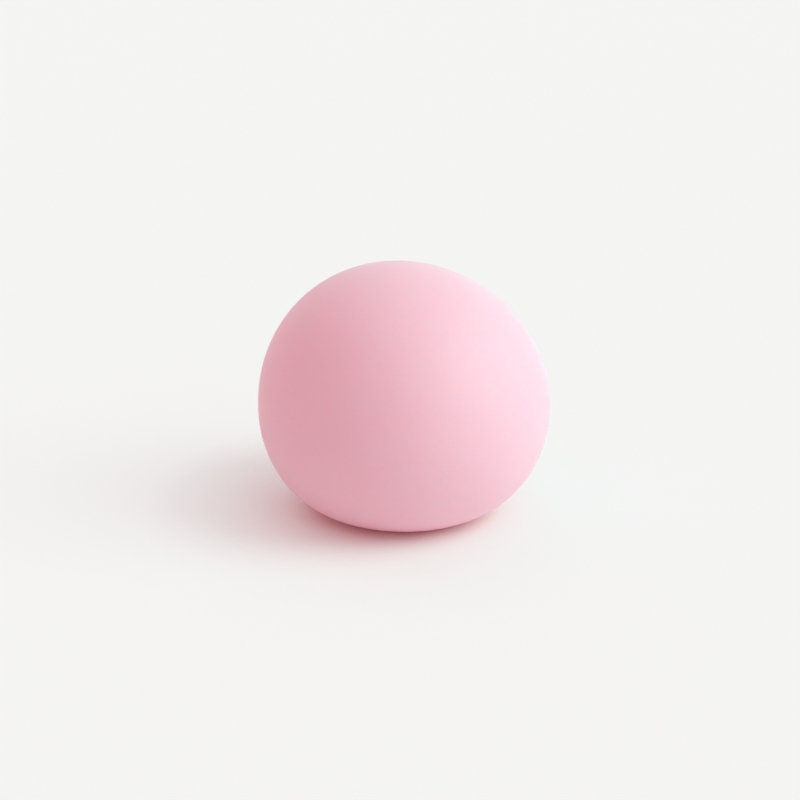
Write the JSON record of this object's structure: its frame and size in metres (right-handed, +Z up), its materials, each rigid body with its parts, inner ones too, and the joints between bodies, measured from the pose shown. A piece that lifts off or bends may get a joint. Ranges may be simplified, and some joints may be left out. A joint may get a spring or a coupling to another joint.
{
  "type": "stress ball",
  "caption": "Soft round squeeze ball, sagged onto a flat foot: a matte moulded skin full of dough, closed by a plug underneath, that presses down under a palm and rises again.",
  "frame": {"origin": "middle of the flat foot, on the surface that the ball stands on", "axes": "+Z up through the crown, the axis that the skin is turned about; X and Y are free, +X is the right of the picture"},
  "size_m": [0.066, 0.066, 0.0567],
  "materials": {
    "skin": "matte pastel pink soft rubber, slightly translucent, with pale phosphor pigment mixed in",
    "dough": "soft pale dough",
    "plug": "matte pink soft rubber",
    "adhesive": "cured milky adhesive, glossy"
  },
  "bodies": {
    "base": {"lower_skin": "skin", "filling": "dough", "fill_plug": "plug", "plug_seal": "adhesive"},
    "crown": {"upper_skin": "skin"}
  },
  "joints": [
    {"name": "squeeze", "type": "slide", "parent": "base", "child": "crown", "axis": [0, 0, -1], "range_m": [0, 0.02], "stiffness_N_per_m": 1200, "deforming": ["upper_skin", "lower_skin", "filling"]}
  ]
}
